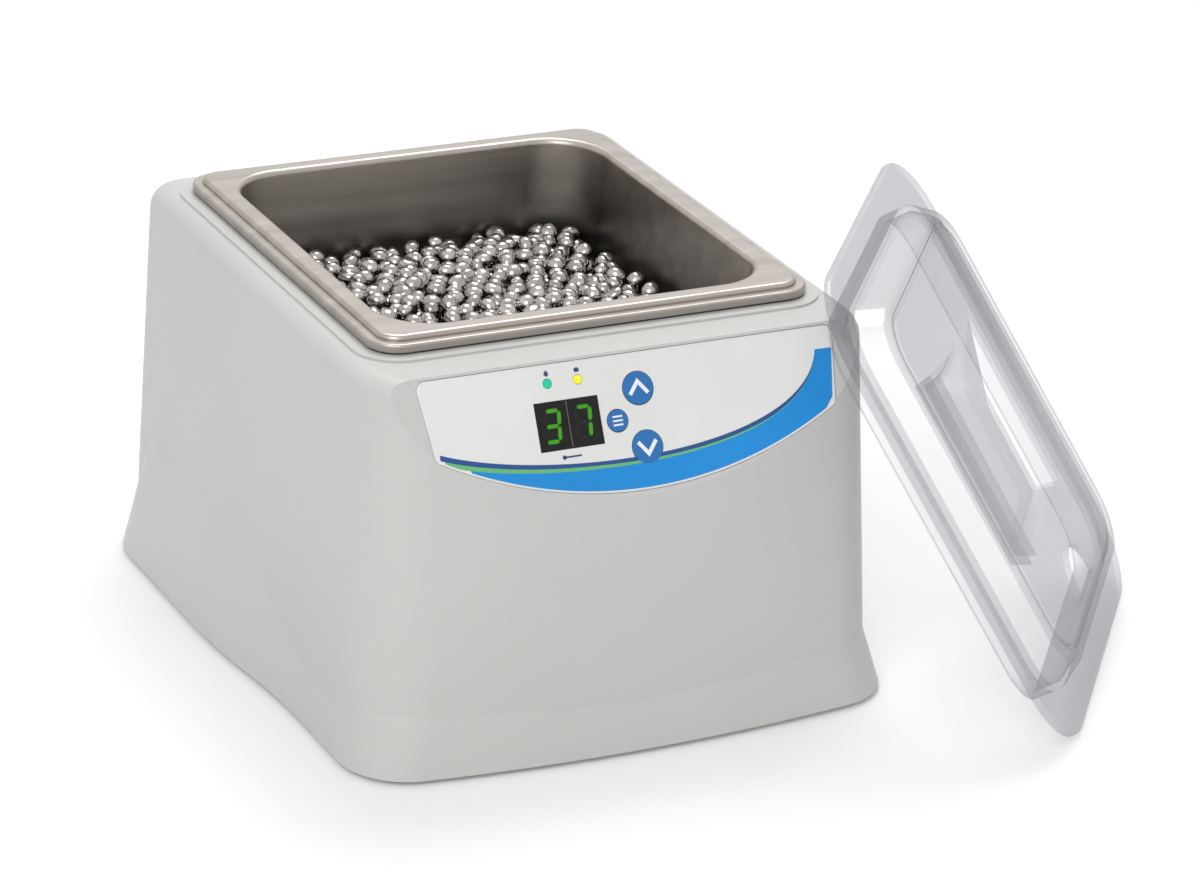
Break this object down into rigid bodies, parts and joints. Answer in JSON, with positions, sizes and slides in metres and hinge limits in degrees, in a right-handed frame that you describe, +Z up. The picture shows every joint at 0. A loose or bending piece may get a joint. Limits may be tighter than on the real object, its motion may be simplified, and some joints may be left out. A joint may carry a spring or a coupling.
{
  "type": "bead bath",
  "caption": "Bench bead bath: moulded casing with steel pan of metal beads, tilted control panel, rear power inlet and switch, clear lid leaning on it.",
  "frame": {"origin": "on the bench, in the middle of the four feet, which is the middle of the casing's footprint", "axes": "+Z up; the control panel faces -Y, the power inlet +Y; the lid leans on the +X side"},
  "size_m": [0.3322, 0.2943, 0.1552],
  "materials": {
    "casing_plastic": "satin, fine texture",
    "base_plastic": "matt",
    "foot_rubber": "matt",
    "screw_steel": "zinc plated",
    "pan_steel": "satin brushed",
    "gasket_rubber": "matt",
    "bead_metal": "polished",
    "spreader_aluminium": "mill finish",
    "heater_silicone": "matt",
    "insulation_wool": "fibrous",
    "cradle_steel": "galvanised",
    "overlay_film": "satin film, printed",
    "window_tint": "glossy",
    "display_black": "matt",
    "digit_lit": "glowing",
    "digit_unlit": "satin",
    "key_blue": "satin",
    "led_green": "glowing",
    "led_yellow": "glowing",
    "board_green": "satin",
    "component_black": "satin",
    "core_steel": "varnished laminations",
    "coil_tape": "taped",
    "sink_aluminium": "extruded",
    "terminal_green": "satin",
    "inlet_black": "satin",
    "contact_brass": "plated",
    "lid_clear": "clear polycarbonate",
    "fuse_glass": "clear"
  },
  "bodies": {
    "casing": {"housing": "casing_plastic", "base_plate": "base_plastic", "base_screws": "screw_steel", "foot_front_left": "foot_rubber", "foot_front_right": "foot_rubber", "foot_rear_left": "foot_rubber", "foot_rear_right": "foot_rubber", "bath_pan": "pan_steel", "pan_gasket": "gasket_rubber", "bead_bed": "bead_metal", "heat_spreader": "spreader_aluminium", "heater_mat": "heater_silicone", "insulation_pad": "insulation_wool", "insulation_jacket": "insulation_wool", "thermal_fuse": "component_black", "temperature_sensor": "screw_steel", "pan_cradle": "cradle_steel", "control_overlay": "overlay_film", "display_window": "window_tint", "display_module": "display_black", "display_digits_lit": "digit_lit", "display_digits_unlit": "digit_unlit", "indicator_water": "led_green", "indicator_beads": "led_yellow", "control_board": "board_green", "control_board_screws": "screw_steel", "tact_switches": "component_black", "power_board": "board_green", "power_board_spacers": "contact_brass", "transformer_core": "core_steel", "transformer_coil": "coil_tape", "triac_heatsink": "sink_aluminium", "triac": "component_black", "terminal_block": "terminal_green", "power_capacitors": "component_black", "power_inlet": "inlet_black", "inlet_pins": "contact_brass", "power_switch_frame": "inlet_black", "switch_tabs": "contact_brass"},
    "key_up": {"key_up": "key_blue"},
    "key_mode": {"key_mode": "key_blue"},
    "key_down": {"key_down": "key_blue"},
    "fuse_drawer": {"fuse_drawer": "inlet_black", "fuse": "fuse_glass"},
    "power_rocker": {"power_rocker": "component_black"},
    "lid": {"lid": "lid_clear"}
  },
  "joints": [
    {"name": "key_up_press", "type": "slide", "parent": "casing", "child": "key_up", "axis": [0, 0.887, -0.4617], "range_m": [0, 0.0006], "stiffness_N_per_m": 400, "springref_m": -0.001},
    {"name": "key_mode_press", "type": "slide", "parent": "casing", "child": "key_mode", "axis": [0, 0.887, -0.4617], "range_m": [0, 0.0006], "stiffness_N_per_m": 400, "springref_m": -0.001},
    {"name": "key_down_press", "type": "slide", "parent": "casing", "child": "key_down", "axis": [0, 0.887, -0.4617], "range_m": [0, 0.0006], "stiffness_N_per_m": 400, "springref_m": -0.001},
    {"name": "fuse_drawer_slide", "type": "slide", "parent": "casing", "child": "fuse_drawer", "axis": [0, 1, 0], "range_m": [0, 0.012]},
    {"name": "power_rocker_tilt", "type": "hinge", "parent": "casing", "child": "power_rocker", "pos_m": [0.032, 0.1185, 0.034], "axis": [-1, 0, 0], "range_deg": [0, 18]},
    {"name": "lid_lift", "type": "slide", "parent": "casing", "child": "lid", "axis": [0, 0, 1], "range_m": [0, 0.2]}
  ]
}
